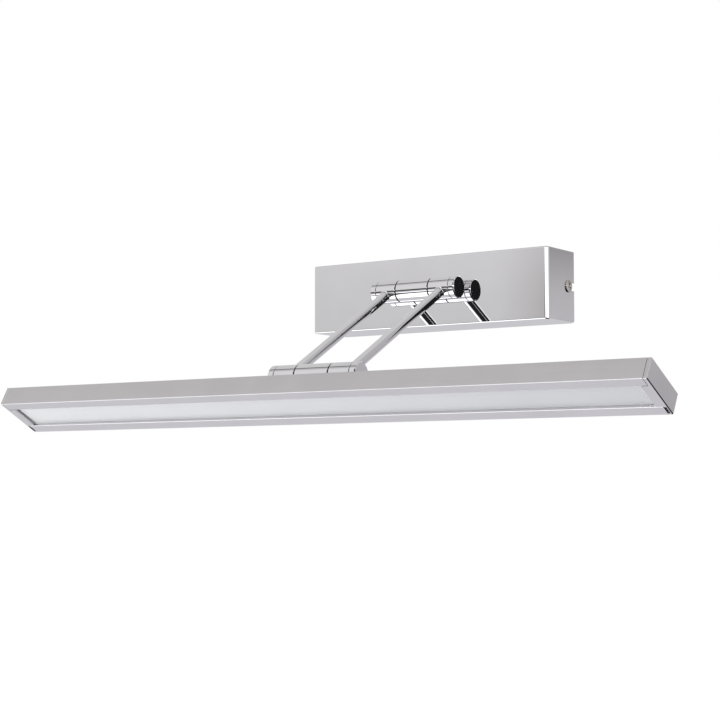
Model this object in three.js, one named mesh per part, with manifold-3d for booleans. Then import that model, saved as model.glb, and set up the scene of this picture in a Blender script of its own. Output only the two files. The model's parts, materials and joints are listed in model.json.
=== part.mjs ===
// Picture light: a wall box, two tubular arms and a slim LED head, joined by two friction hinges.
// Units are millimetres and +Z is up. The origin is the centre of the wall face of the bracket,
// +X runs along the lamp head and +Y goes into the wall, so the light stands out towards -Y.

import * as THREE from "three";
import { mergeVertices } from "three/addons/utils/BufferGeometryUtils.js";
import Module from "manifold-3d";

const wasm = await Module();
wasm.setup();

// ---------------------------------------------------------------- driving dimensions

// wall box
const COVER_LENGTH = 180;
const COVER_HEIGHT = 45.8;
const COVER_DEPTH = 35;
const COVER_SHEET = 1.2;
const COVER_FOLD_RADIUS = 2.4;
const COVER_EDGE_RADIUS = 0.9;
const COVER_REAR_CORNER = 2;
const BRACKET_SHEET = 1.5;
const BRACKET_HEIGHT = 41.4;
const BRACKET_CLEARANCE = 1;
const EAR_HEIGHT = 20;
const EAR_DEPTH = 15;
const COVER_SCREW_INSET = 7.8;
const COVER_SLOT_WIDTH = 5;
const WALL_SLOT_SPACING = 152;
const WALL_SLOT_LENGTH = 14;
const WALL_SLOT_WIDTH = 5.2;

// arms and hinges
const ARM_LENGTH = 125.2;
const ARM_DROP_DEG = 29.4;
const ARM_TUBE_RADIUS = 3.15;
const ARM_TUBE_WALL = 1;
const ARM_TUBE_OFFSET = 0.8;
const HINGE_OFFSET = 10.25;
const BARREL_RADIUS = 7.2;
const BARREL_CHAMFER = 0.3;
const BARREL_HALF_LENGTH = 11.9;
const WASHER_THICKNESS = 0.6;
const WASHER_RADIUS = 6.5;
const KNUCKLE_LENGTH = 14.6;
const CAP_LENGTH = 4.3;
const CAP_CHAMFER = 0.4;
const CAP_GAP = 0.3;
const CAP_THREAD_DEPTH = 2.8;
const HINGE_GAP = 0.1;
const AXLE_RADIUS = 3;
const AXLE_BORE_RADIUS = 1.7;
const RUNNING_CLEARANCE = 0.1;
const NECK_RADIUS = 4.5;
const STUD_RADIUS = 3;
const LEAD_WAY_RADIUS = 1.6;

// lamp head
const HEAD_LENGTH = 457.3;
const HEAD_WIDTH = 35.4;
const HEAD_THICKNESS = 12.6;
const HEAD_TILT_DEG = -28.8;
const HEAD_SETBACK = 7.25;
const HEAD_DROP = 21;
const HEAD_TOP_WALL = 1.5;
const HEAD_SIDE_WALL = 1.5;
const RIM_THICKNESS = 1.6;
const FRONT_RIM_WIDTH = 7.2;
const REAR_RIM_WIDTH = 7.9;
const HEAD_CAP_THICKNESS = 2.5;
const HEAD_CAP_FLANGE = 4.2;
const DIFFUSER_THICKNESS = 2.5;
const BOARD_THICKNESS = 1.2;
const LED_SIZE = 2.8;
const LED_HEIGHT = 0.7;
const LED_PITCH = 12;
const LED_COUNT = 36;

// wiring
const MAINS_LEAD_RADIUS = 0.9;
const LOW_VOLTAGE_LEAD_RADIUS = 1.1;

// facets on round pieces
const ROUND_FACETS = 32;
const BORE_FACETS = 20;
const SCREW_HEAD_FACETS = 16;
const SMALL_FACETS = 12;

// ---------------------------------------------------------------- materials

function material(color, roughness, metalness) {
  return new THREE.MeshStandardMaterial({ color, roughness, metalness });
}

const chrome = () => material(0xc9c8ca, 0.06, 1);
const headMetal = () => material(0xbdbabb, 0.22, 1);
const nickel = () => material(0xb4b1aa, 0.25, 1);
const zincSteel = () => material(0x9fa3a6, 0.4, 1);
const opal = () => material(0xe6e9ec, 0.35, 0);
const blackPolymer = () => material(0x1a1a1b, 0.6, 0);
const whitePolymer = () => material(0xe8e6e0, 0.5, 0);
const rubber = () => material(0x202020, 0.85, 0);
const boardWhite = () => material(0xf2f2ee, 0.5, 0);
const insulation = (color) => material(color, 0.5, 0);

// ---------------------------------------------------------------- solids

// A closed three.js geometry as a manifold solid, turned face out if it came inside out.
function toSolid(geometry) {
  const bare = geometry.index ? geometry.toNonIndexed() : geometry.clone();
  bare.deleteAttribute("normal");
  bare.deleteAttribute("uv");
  const merged = mergeVertices(bare, 1e-4);
  const index = merged.index.array;
  const triangles = [];
  for (let i = 0; i < index.length; i += 3) {
    const [a, b, c] = index.slice(i, i + 3);
    if (a !== b && b !== c && a !== c) triangles.push(a, b, c);
  }
  const build = (list) =>
    new wasm.Manifold(
      new wasm.Mesh({
        numProp: 3,
        vertProperties: merged.attributes.position.array,
        triVerts: new Uint32Array(list),
      }),
    );
  const made = build(triangles);
  return made.volume() > 0 ? made : build(triangles.reverse());
}

function toGeometry(solid) {
  const mesh = solid.getMesh();
  const indexed = new THREE.BufferGeometry();
  indexed.setAttribute("position", new THREE.BufferAttribute(new Float32Array(mesh.vertProperties), 3));
  indexed.setIndex(new THREE.BufferAttribute(new Uint32Array(mesh.triVerts), 1));
  const flat = indexed.toNonIndexed();
  flat.computeVertexNormals();
  return flat;
}

function block(x0, x1, y0, y1, z0, z1) {
  const geometry = new THREE.BoxGeometry(x1 - x0, y1 - y0, z1 - z0);
  geometry.translate((x0 + x1) / 2, (y0 + y1) / 2, (z0 + z1) / 2);
  return toSolid(geometry);
}

// A profile of [radius, distance along the axis] points turned about the x, y or z axis, then moved by at.
function turned(axis, profile, facets = ROUND_FACETS, at = [0, 0, 0]) {
  const points = profile.map(([radius, along]) => new THREE.Vector2(radius, along));
  const geometry = new THREE.LatheGeometry(points, facets);
  if (axis === "x") geometry.rotateZ(-Math.PI / 2);
  if (axis === "z") geometry.rotateX(Math.PI / 2);
  geometry.translate(...at);
  return toSolid(geometry);
}

function rod(axis, radius, from, to, facets = ROUND_FACETS, at = [0, 0, 0]) {
  return turned(axis, [[0, from], [radius, from], [radius, to], [0, to]], facets, at);
}

function ring(axis, inner, outer, from, to, facets = ROUND_FACETS) {
  return turned(axis, [[inner, from], [outer, from], [outer, to], [inner, to], [inner, from]], facets);
}

// A rod whose two edges have chamfers of their own sizes.
function chamferedRod(axis, radius, from, to, chamferFrom, chamferTo) {
  return turned(axis, [
    [0, from],
    [radius - chamferFrom, from],
    [radius, from + chamferFrom],
    [radius, to - chamferTo],
    [radius - chamferTo, to],
    [0, to],
  ]);
}

// The plane of a prism's outline: (y, z) along x, (z, x) along y, (x, y) along z.
const X = new THREE.Vector3(1, 0, 0);
const Y = new THREE.Vector3(0, 1, 0);
const Z = new THREE.Vector3(0, 0, 1);
const PRISM_BASIS = { x: [Y, Z, X], y: [Z, X, Y], z: [X, Y, Z] };

function prism(axis, shape, from, to, curveSegments = 6) {
  const geometry = new THREE.ExtrudeGeometry(shape, {
    depth: to - from,
    bevelEnabled: false,
    curveSegments,
  });
  geometry.translate(0, 0, from);
  geometry.applyMatrix4(new THREE.Matrix4().makeBasis(...PRISM_BASIS[axis]));
  return toSolid(geometry);
}

// A rectangle from corner (a0, b0) to (a1, b1), with one radius for each corner, anticlockwise from (a0, b0).
function rectangle(a0, b0, a1, b1, radii = [0, 0, 0, 0]) {
  const [r00, r10, r11, r01] = radii;
  const shape = new THREE.Shape();
  shape.moveTo(a0 + r00, b0);
  shape.lineTo(a1 - r10, b0);
  if (r10) shape.absarc(a1 - r10, b0 + r10, r10, -Math.PI / 2, 0, false);
  shape.lineTo(a1, b1 - r11);
  if (r11) shape.absarc(a1 - r11, b1 - r11, r11, 0, Math.PI / 2, false);
  shape.lineTo(a0 + r01, b1);
  if (r01) shape.absarc(a0 + r01, b1 - r01, r01, Math.PI / 2, Math.PI, false);
  shape.lineTo(a0, b0 + r00);
  if (r00) shape.absarc(a0 + r00, b0 + r00, r00, Math.PI, Math.PI * 1.5, false);
  return shape;
}

function hexagon(acrossFlats) {
  const radius = acrossFlats / Math.sqrt(3);
  const corners = [0, 1, 2, 3, 4, 5].map((i) => {
    const angle = (i * Math.PI) / 3;
    return new THREE.Vector2(radius * Math.cos(angle), radius * Math.sin(angle));
  });
  return new THREE.Shape(corners);
}

function cut(solid, ...tools) {
  return tools.reduce((left, tool) => left.subtract(tool), solid);
}

function join(...solids) {
  return solids.reduce((all, next) => all.add(next));
}

function addPiece(group, name, solid, look) {
  const mesh = new THREE.Mesh(toGeometry(solid), look);
  mesh.name = name;
  group.add(mesh);
  return mesh;
}

// ---------------------------------------------------------------- shared fasteners and wiring

// A pan-head screw along +X: the head's underside is at x = 0 and the shank runs towards -X.
function panHeadScrew({ headRadius, headHeight, shankRadius, shankLength, recessWidth }) {
  const domeSteps = 3;
  const rimHeight = headHeight * 0.4;
  const profile = [[0, -shankLength], [shankRadius, -shankLength], [shankRadius, 0], [headRadius, 0]];
  for (let step = 0; step <= domeSteps; step += 1) {
    const angle = (step / domeSteps) * (Math.PI / 2);
    const radius = step === domeSteps ? 0 : headRadius * Math.cos(angle);
    profile.push([radius, rimHeight + (headHeight - rimHeight) * Math.sin(angle)]);
  }
  const half = recessWidth / 2;
  const reach = headRadius * 0.55;
  const floor = headHeight * 0.45;
  return cut(
    turned("x", profile, SCREW_HEAD_FACETS),
    block(floor, headHeight + 1, -reach, reach, -half, half),
    block(floor, headHeight + 1, -half, half, -reach, reach),
  );
}

function hexNut(axis, acrossFlats, boreRadius, from, to) {
  return cut(
    prism(axis, hexagon(acrossFlats), from, to),
    rod(axis, boreRadius, from - 1, to + 1, BORE_FACETS),
  );
}

// An insulated lead along a smooth curve through the given points.
function lead(points, radius, steps) {
  const curve = new THREE.CatmullRomCurve3(points.map((p) => new THREE.Vector3(...p)), false, "centripetal");
  const section = new THREE.Shape();
  section.absarc(0, 0, radius, 0, Math.PI * 2, false);
  return toSolid(
    new THREE.ExtrudeGeometry(section, { steps, extrudePath: curve, curveSegments: 4 }),
  );
}

// ---------------------------------------------------------------- wall box

const coverFront = -COVER_DEPTH;
const coverInnerFront = coverFront + COVER_SHEET;
const coverScrewY = -COVER_SCREW_INSET;

function coverShell() {
  const halfLength = COVER_LENGTH / 2;
  const halfHeight = COVER_HEIGHT / 2;
  const fold = COVER_FOLD_RADIUS;
  const edge = COVER_EDGE_RADIUS;
  const plan = rectangle(-halfLength, coverFront, halfLength, 0, [fold, fold, 0, 0]);
  const side = rectangle(coverFront, -halfHeight, 0, halfHeight, [edge, 0, 0, edge]);
  const outer = prism("z", plan, -halfHeight, halfHeight).intersect(
    prism("x", side, -halfLength, halfLength, 3),
  );
  const innerLength = halfLength - COVER_SHEET;
  const innerHeight = halfHeight - COVER_SHEET;
  const innerFold = fold - COVER_SHEET;
  const innerPlan = rectangle(-innerLength, coverInnerFront, innerLength, 1, [innerFold, innerFold, 0, 0]);
  return cut(outer, prism("z", innerPlan, -innerHeight, innerHeight));
}

// The U-slot, open to the back edge, that slides over a cover screw.
function coverSlot() {
  const radius = COVER_SLOT_WIDTH / 2;
  const outline = rectangle(coverScrewY - radius, -radius, 1, radius, [radius, 0, 0, radius]);
  return prism("x", outline, -COVER_LENGTH, COVER_LENGTH);
}

// What the rounded lower rear corners of both end panels lose.
function coverRearCorners() {
  const radius = COVER_REAR_CORNER;
  const bottom = -COVER_HEIGHT / 2;
  const corner = block(-COVER_LENGTH, COVER_LENGTH, -radius, 1, bottom - 1, bottom + radius);
  const middle = block(-COVER_LENGTH / 2 + radius, COVER_LENGTH / 2 - radius, -50, 50, -50, 50);
  const centre = [0, -radius, bottom + radius];
  const round = rod("x", radius, -COVER_LENGTH, COVER_LENGTH, BORE_FACETS, centre);
  return cut(corner, middle, round);
}

function wallCover() {
  const studHole = rod("y", STUD_RADIUS + 0.2, coverFront - 1, coverInnerFront + 1, BORE_FACETS);
  return cut(coverShell(), coverSlot(), studHole, coverRearCorners());
}

const bracketHalfLength = COVER_LENGTH / 2 - COVER_SHEET - BRACKET_CLEARANCE;
const coverScrewShank = 1.9;
const smallScrewShank = 1.45;
const smallScrewHole = 1.6;

// Places on the bracket, as [x, z].
const CABLE_ENTRY = [22, 0];
const CABLE_HOLE_RADIUS = 7;
const CABLE_WAY_RADIUS = 4.5;
const EARTH_POINT = [24, 15];
const DRIVER_X = [-62, -8];
const DRIVER_TAB = 6;
const DRIVER_FIXINGS = [
  [DRIVER_X[0] - DRIVER_TAB / 2, 0],
  [DRIVER_X[1] + DRIVER_TAB / 2, 0],
];
const TERMINAL_X = [38, 56];
const TERMINAL_POLES = [-9, 0, 9];
const TERMINAL_FIXING = [47, 4.5];

function wallSlot(centreX) {
  const halfWidth = WALL_SLOT_WIDTH / 2;
  const halfLength = WALL_SLOT_LENGTH / 2;
  const outline = rectangle(
    -halfWidth,
    centreX - halfLength,
    halfWidth,
    centreX + halfLength,
    [halfWidth, halfWidth, halfWidth, halfWidth],
  );
  return prism("y", outline, -10, 10, 4);
}

function plateHole([x, z], radius, facets = SMALL_FACETS) {
  return rod("y", radius, -10, 10, facets, [x, 0, z]);
}

function wallBracket() {
  const halfHeight = BRACKET_HEIGHT / 2;
  const plate = block(-bracketHalfLength, bracketHalfLength, -BRACKET_SHEET, 0, -halfHeight, halfHeight);
  const earOutline = () => rectangle(-EAR_DEPTH, -EAR_HEIGHT / 2, 0, EAR_HEIGHT / 2, [3, 0, 0, 3]);
  const leftEar = prism("x", earOutline(), -bracketHalfLength, -bracketHalfLength + BRACKET_SHEET, 3);
  const rightEar = prism("x", earOutline(), bracketHalfLength - BRACKET_SHEET, bracketHalfLength, 3);
  const earHoles = rod("x", coverScrewShank + 0.1, -100, 100, SMALL_FACETS, [0, coverScrewY, 0]);
  return cut(
    join(plate, leftEar, rightEar),
    earHoles,
    wallSlot(-WALL_SLOT_SPACING / 2),
    wallSlot(WALL_SLOT_SPACING / 2),
    plateHole(CABLE_ENTRY, CABLE_HOLE_RADIUS, BORE_FACETS),
    plateHole(EARTH_POINT, smallScrewHole),
    plateHole(TERMINAL_FIXING, smallScrewHole),
    ...DRIVER_FIXINGS.map((place) => plateHole(place, smallScrewHole)),
  );
}

function cableGrommet() {
  const sleeve = CABLE_HOLE_RADIUS - 0.15;
  const flange = CABLE_HOLE_RADIUS + 1.8;
  const bore = CABLE_WAY_RADIUS;
  const flangeBack = -BRACKET_SHEET - 0.1;
  const front = -4;
  return turned(
    "y",
    [[bore, front], [flange - 0.8, front], [flange, front + 0.8], [flange, flangeBack],
      [sleeve, flangeBack], [sleeve, -0.1], [bore, -0.1], [bore, front]],
    BORE_FACETS,
  );
}

const driverBack = -BRACKET_SHEET - 0.3;
const DRIVER_DEPTH = 19;
const DRIVER_HEIGHT = 30;
const driverTabFront = driverBack - 2;

function driverCase() {
  const half = DRIVER_HEIGHT / 2;
  const corner = 2;
  const section = rectangle(driverBack - DRIVER_DEPTH, -half, driverBack, half, [corner, 0, 0, corner]);
  const body = prism("x", section, ...DRIVER_X, 4);
  const tabs = block(DRIVER_X[0] - DRIVER_TAB, DRIVER_X[1] + DRIVER_TAB, driverTabFront, driverBack, -5, 5);
  return cut(join(body, tabs), ...DRIVER_FIXINGS.map((place) => plateHole(place, smallScrewHole)));
}

const terminalBack = -BRACKET_SHEET - 0.3;
const terminalFront = terminalBack - 14;
const TERMINAL_ENTRY_Y = -6;

function terminalBlock() {
  const [left, right] = TERMINAL_X;
  const halfHeight = 14;
  const wells = TERMINAL_POLES.flatMap((z) =>
    [left + 5, right - 5].map((x) =>
      rod("y", 1.9, terminalFront - 1, terminalFront + 5, SMALL_FACETS, [x, 0, z]),
    ),
  );
  const entries = TERMINAL_POLES.flatMap((z) =>
    [[left - 1, left + 6], [right - 6, right + 1]].map(([from, to]) =>
      rod("x", 1.6, from, to, SMALL_FACETS, [0, TERMINAL_ENTRY_Y, z]),
    ),
  );
  return cut(
    block(left, right, terminalFront, terminalBack, -halfHeight, halfHeight),
    ...wells,
    ...entries,
    rod("y", smallScrewHole, terminalFront - 1, 0, SMALL_FACETS, [TERMINAL_FIXING[0], 0, TERMINAL_FIXING[1]]),
  );
}

const earthTagBack = -BRACKET_SHEET - 0.1;
const earthTagFront = earthTagBack - 0.8;
const EARTH_CRIMP_RADIUS = 1.5;
const earthCrimpY = earthTagBack - EARTH_CRIMP_RADIUS;

function earthTag() {
  const [x, z] = EARTH_POINT;
  const eye = rod("y", 3.8, earthTagFront, earthTagBack, BORE_FACETS, [x, 0, z]);
  const strip = block(x, x + 6, earthTagFront, earthTagBack, z - 1.2, z + 1.2);
  const crimp = rod("x", EARTH_CRIMP_RADIUS, x + 5, x + 8, SMALL_FACETS, [0, earthCrimpY, z]);
  const hole = plateHole(EARTH_POINT, smallScrewHole);
  return cut(join(eye, strip, crimp), hole);
}

function buildWallBox() {
  const wallBox = new THREE.Group();
  addPiece(wallBox, "wall_bracket", wallBracket(), zincSteel());
  addPiece(wallBox, "wall_cover", wallCover(), chrome());

  const coverScrew = () =>
    panHeadScrew({
      headRadius: 4,
      headHeight: 1.2,
      shankRadius: coverScrewShank,
      shankLength: 7,
      recessWidth: 1.1,
    });
  const coverScrewX = COVER_LENGTH / 2 + 0.1;
  const rightScrew = addPiece(wallBox, "cover_screw_right", coverScrew(), nickel());
  rightScrew.position.set(coverScrewX, coverScrewY, 0);
  const leftScrew = addPiece(wallBox, "cover_screw_left", coverScrew(), nickel());
  leftScrew.position.set(-coverScrewX, coverScrewY, 0);
  leftScrew.rotation.z = Math.PI;

  const grommet = addPiece(wallBox, "cable_grommet", cableGrommet(), rubber());
  grommet.position.set(CABLE_ENTRY[0], 0, CABLE_ENTRY[1]);

  // A screw driven from the front into the bracket, its head's underside at the given y.
  const plateScrew = (name, [x, z], seatY) => {
    const solid = panHeadScrew({
      headRadius: 2.7,
      headHeight: 1.9,
      shankRadius: smallScrewShank,
      shankLength: -seatY - 0.1,
      recessWidth: 0.8,
    });
    const screw = addPiece(wallBox, name, solid, zincSteel());
    screw.position.set(x, seatY, z);
    screw.rotation.z = -Math.PI / 2;
  };

  addPiece(wallBox, "driver_case", driverCase(), blackPolymer());
  plateScrew("driver_screw_left", DRIVER_FIXINGS[0], driverTabFront - 0.1);
  plateScrew("driver_screw_right", DRIVER_FIXINGS[1], driverTabFront - 0.1);
  addPiece(wallBox, "terminal_block", terminalBlock(), whitePolymer());
  plateScrew("terminal_screw", TERMINAL_FIXING, terminalFront - 0.1);
  addPiece(wallBox, "earth_tag", earthTag(), zincSteel());
  plateScrew("earth_screw", EARTH_POINT, earthTagFront - 0.1);

  const poleEnd = TERMINAL_X[0] + 3;
  const entryY = TERMINAL_ENTRY_Y;
  const driverEnd = DRIVER_X[1] + 0.3;
  const liveRoute = [
    [driverEnd, -11, -10], [0, -11.5, -10.5], [16, -13, -10], [29, -11, -9],
    [36, entryY, -9], [poleEnd, entryY, -9],
  ];
  const neutralRoute = [
    [driverEnd, -11, -6], [0, -11.5, -6], [16, -13, -4], [29, -11, 0],
    [36, entryY, 0], [poleEnd, entryY, 0],
  ];
  const crimpEnd = EARTH_POINT[0] + 8.4;
  const earthRoute = [
    [crimpEnd, earthCrimpY, 15], [33.8, earthCrimpY, 15], [35.8, -4.6, 13.2], [36.2, -5.8, 10.2],
    [38.5, entryY, 9], [poleEnd, entryY, 9],
  ];
  addPiece(wallBox, "live_lead", lead(liveRoute, MAINS_LEAD_RADIUS, 16), insulation(0x5a3521));
  addPiece(wallBox, "neutral_lead", lead(neutralRoute, MAINS_LEAD_RADIUS, 16), insulation(0x24507f));
  addPiece(wallBox, "earth_lead", lead(earthRoute, MAINS_LEAD_RADIUS, 14), insulation(0x6f9a2e));

  // From the far end of the driver back over its top, and into the hollow stud of the hinge post.
  const outputRoute = [
    [DRIVER_X[0] - 0.5, -12, 5], [-65, -12, 5.3], [-67.5, -12.5, 9], [-67, -13, 14],
    [-62, -14, 17.8], [-50, -15, 18.3], [-20, -16, 18.3], [-5, -14, 16.5], [3, -12, 10],
    [3, -12, 4], [0.3, -14.5, 0.4], [0, -19, 0], [0, -24, 0], [0, coverFront - 6, 0],
  ];
  addPiece(wallBox, "output_lead", lead(outputRoute, LOW_VOLTAGE_LEAD_RADIUS, 44), insulation(0xd8d8d4));

  addPiece(wallBox, "upper_post_washer", upperPostWasher(), zincSteel());
  addPiece(wallBox, "upper_post_nut", upperPostNut(), zincSteel());
  const barrel = addPiece(wallBox, "upper_hinge_barrel", hingeBarrel(HINGE_OFFSET, 8.5), chrome());
  barrel.position.set(0, hingeAxisY, 0);
  return wallBox;
}

// ---------------------------------------------------------------- hinges

const hingeAxisY = coverFront - HINGE_OFFSET;
const borePlay = AXLE_RADIUS + RUNNING_CLEARANCE;
const knuckleStart = BARREL_HALF_LENGTH + HINGE_GAP * 2 + WASHER_THICKNESS;
const knuckleEnd = knuckleStart + KNUCKLE_LENGTH;
const capStart = knuckleEnd + CAP_GAP;
const capEnd = capStart + CAP_LENGTH;
const armX = (knuckleStart + knuckleEnd) / 2 + ARM_TUBE_OFFSET;
const tubeEndDistance = 4.6;

// The middle barrel about the X axis, with its post along +Y: a neck as far as the face it stands on,
// then a hollow threaded stud.
function hingeBarrel(faceDistance, studLength) {
  const half = BARREL_HALF_LENGTH;
  const shoulder = faceDistance - HINGE_GAP;
  const barrel = chamferedRod("x", BARREL_RADIUS, -half, half, BARREL_CHAMFER, BARREL_CHAMFER);
  const neck = rod("y", NECK_RADIUS, 0, shoulder, BORE_FACETS);
  const stud = rod("y", STUD_RADIUS, shoulder - 1, shoulder + studLength, BORE_FACETS);
  return cut(
    join(barrel, neck, stud),
    rod("x", borePlay, -half - 1, half + 1, BORE_FACETS),
    rod("y", LEAD_WAY_RADIUS, 0, shoulder + studLength + 1, SMALL_FACETS),
  );
}

function upperPostWasher() {
  return ring("y", STUD_RADIUS + 0.2, 6.5, coverInnerFront + 0.1, coverInnerFront + 1.1, BORE_FACETS);
}

function upperPostNut() {
  return hexNut("y", 10, STUD_RADIUS + 0.1, coverInnerFront + 1.2, coverInnerFront + 6.2);
}

// The right-hand outer barrel about the X axis, with its socket for the arm tube along -Y.
function knuckle() {
  const body = chamferedRod("x", BARREL_RADIUS, knuckleStart, knuckleEnd, BARREL_CHAMFER, BARREL_CHAMFER);
  const at = [armX, 0, 0];
  const socketRadius = ARM_TUBE_RADIUS + 0.1;
  return cut(
    body,
    rod("x", borePlay, knuckleStart - 1, knuckleEnd + 1, BORE_FACETS),
    rod("y", socketRadius, -BARREL_RADIUS - 1, -tubeEndDistance + 0.2, BORE_FACETS, at),
    rod("y", LEAD_WAY_RADIUS, -BARREL_RADIUS, 0, SMALL_FACETS, at),
  );
}

// The right-hand end cap: it screws onto the axle, and its outer face is turned flat.
function endCap() {
  return cut(
    chamferedRod("x", BARREL_RADIUS, capStart, capEnd, BARREL_CHAMFER, CAP_CHAMFER),
    rod("x", borePlay, capStart - 1, capStart + CAP_THREAD_DEPTH, BORE_FACETS),
  );
}

function frictionWasher() {
  const from = BARREL_HALF_LENGTH + HINGE_GAP;
  return ring("x", borePlay, WASHER_RADIUS, from, from + WASHER_THICKNESS, BORE_FACETS);
}

function axle() {
  const half = capStart + CAP_THREAD_DEPTH - HINGE_GAP;
  return ring("x", AXLE_BORE_RADIUS, AXLE_RADIUS, -half, half, BORE_FACETS);
}

function armTube() {
  const inner = ARM_TUBE_RADIUS - ARM_TUBE_WALL;
  return ring("y", inner, ARM_TUBE_RADIUS, -ARM_LENGTH + tubeEndDistance, -tubeEndDistance, BORE_FACETS);
}

function armLead() {
  const end = AXLE_RADIUS + 0.5;
  return rod("y", LOW_VOLTAGE_LEAD_RADIUS, -ARM_LENGTH + end, -end, SMALL_FACETS);
}

// The arms' own frame has the upper hinge axis at its origin and the tubes along -Y.
function buildArms() {
  const arms = new THREE.Group();
  arms.position.set(0, hingeAxisY, 0);
  arms.rotation.x = THREE.MathUtils.degToRad(ARM_DROP_DEG);

  const hinges = [
    { level: "upper", y: 0, turn: 0 },
    { level: "lower", y: -ARM_LENGTH, turn: Math.PI },
  ];
  const sides = [
    { side: "right", mirror: 1 },
    { side: "left", mirror: -1 },
  ];

  for (const { level, y, turn } of hinges) {
    addPiece(arms, level + "_axle", axle(), zincSteel()).position.y = y;
    for (const { side, mirror } of sides) {
      // The half turn about X points the lower sockets up the arm. Left pieces are mirror images.
      const place = (part, solid, look) => {
        const piece = addPiece(arms, level + "_" + part + "_" + side, solid, look);
        piece.position.y = y;
        piece.rotation.x = turn;
        piece.scale.x = mirror;
      };
      place("knuckle", knuckle(), chrome());
      place("end_cap", endCap(), chrome());
      place("friction_washer", frictionWasher(), blackPolymer());
    }
  }
  for (const { side, mirror } of sides) {
    addPiece(arms, "arm_tube_" + side, armTube(), chrome()).position.x = mirror * armX;
    addPiece(arms, "arm_lead_" + side, armLead(), insulation(0xd8d8d4)).position.x = mirror * armX;
  }
  return arms;
}

// ---------------------------------------------------------------- lamp head

const headHalfWidth = HEAD_WIDTH / 2;
const headHalfThickness = HEAD_THICKNESS / 2;
const housingHalfLength = HEAD_LENGTH / 2 - HEAD_CAP_THICKNESS - 0.1;
const diffuserBottom = -headHalfThickness + RIM_THICKNESS + 0.1;
const diffuserTop = diffuserBottom + DIFFUSER_THICKNESS;
const shelfBottom = diffuserTop + 0.15;
const shelfTop = 0;
const boardBottom = shelfTop + 0.1;
const boardTop = boardBottom + BOARD_THICKNESS;
const innerHalfWidth = headHalfWidth - HEAD_SIDE_WALL;
const innerTop = headHalfThickness - HEAD_TOP_WALL;
const SHELF_WIDTH = 3;
const OUTER_CORNER = 0.3;

// In the outlines below y runs from the front of the head to its back and z from bottom to top.
function headOutline() {
  const radii = [OUTER_CORNER, OUTER_CORNER, OUTER_CORNER, OUTER_CORNER];
  return rectangle(-headHalfWidth, -headHalfThickness, headHalfWidth, headHalfThickness, radii);
}

function headHousing() {
  const from = -housingHalfLength;
  const to = housingHalfLength;
  const below = -headHalfThickness - 1;
  const cavityBottom = -headHalfThickness + RIM_THICKNESS;
  const tools = [
    block(from - 1, to + 1, -innerHalfWidth, innerHalfWidth, cavityBottom, innerTop),
    block(from - 1, to + 1, -headHalfWidth + FRONT_RIM_WIDTH, headHalfWidth - REAR_RIM_WIDTH, below, 0),
  ];
  const shelves = [-1, 1].map((side) => {
    const ends = [side * (innerHalfWidth - SHELF_WIDTH), side * (innerHalfWidth + 0.5)].sort((a, b) => a - b);
    return block(from, to, ...ends, shelfBottom, shelfTop);
  });
  const studHole = rod("z", STUD_RADIUS + 0.2, 0, headHalfThickness + 1, BORE_FACETS, [0, HEAD_SETBACK, 0]);
  return cut(join(cut(prism("x", headOutline(), from, to, 3), ...tools), ...shelves), studHole);
}

// The right-hand end plate, its flange that closes the end of the light slot, and the tongue
// that plugs into the housing above the LED board. A pocket in the plate's underside meets the rear rim.
function headCap() {
  const outer = HEAD_LENGTH / 2;
  const inner = outer - HEAD_CAP_THICKNESS;
  const slotFront = -headHalfWidth + FRONT_RIM_WIDTH;
  const slotBack = headHalfWidth - REAR_RIM_WIDTH;
  const gap = 0.4;
  const bottom = -headHalfThickness;
  const flangeTop = bottom + RIM_THICKNESS;
  const pocket = block(inner - 1, outer - 0.9, slotBack + 0.4, headHalfWidth - 1.3, bottom - 1, bottom + 3);
  return join(
    cut(prism("x", headOutline(), inner, outer, 3), pocket),
    block(inner - HEAD_CAP_FLANGE, inner + 1, slotFront + gap, slotBack - gap, bottom, flangeTop),
    block(inner - 10, inner + 1, -14, 14, boardTop + 0.2, innerTop - 0.1),
  );
}

function diffuserPanel() {
  const halfLength = housingHalfLength - 0.2;
  const halfWidth = innerHalfWidth - 0.2;
  return block(-halfLength, halfLength, -halfWidth, halfWidth, diffuserBottom, diffuserTop);
}

function ledBoard() {
  const halfWidth = innerHalfWidth - 0.3;
  const halfLength = housingHalfLength - 11;
  const board = block(-halfLength, halfLength, -halfWidth, halfWidth, boardBottom, boardTop);
  const leds = [];
  for (let i = 0; i < LED_COUNT; i += 1) {
    const x = (i - (LED_COUNT - 1) / 2) * LED_PITCH;
    const half = LED_SIZE / 2;
    leds.push(block(x - half, x + half, -half, half, boardBottom - LED_HEIGHT, boardBottom + 0.2));
  }
  return join(board, ...leds);
}

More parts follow.
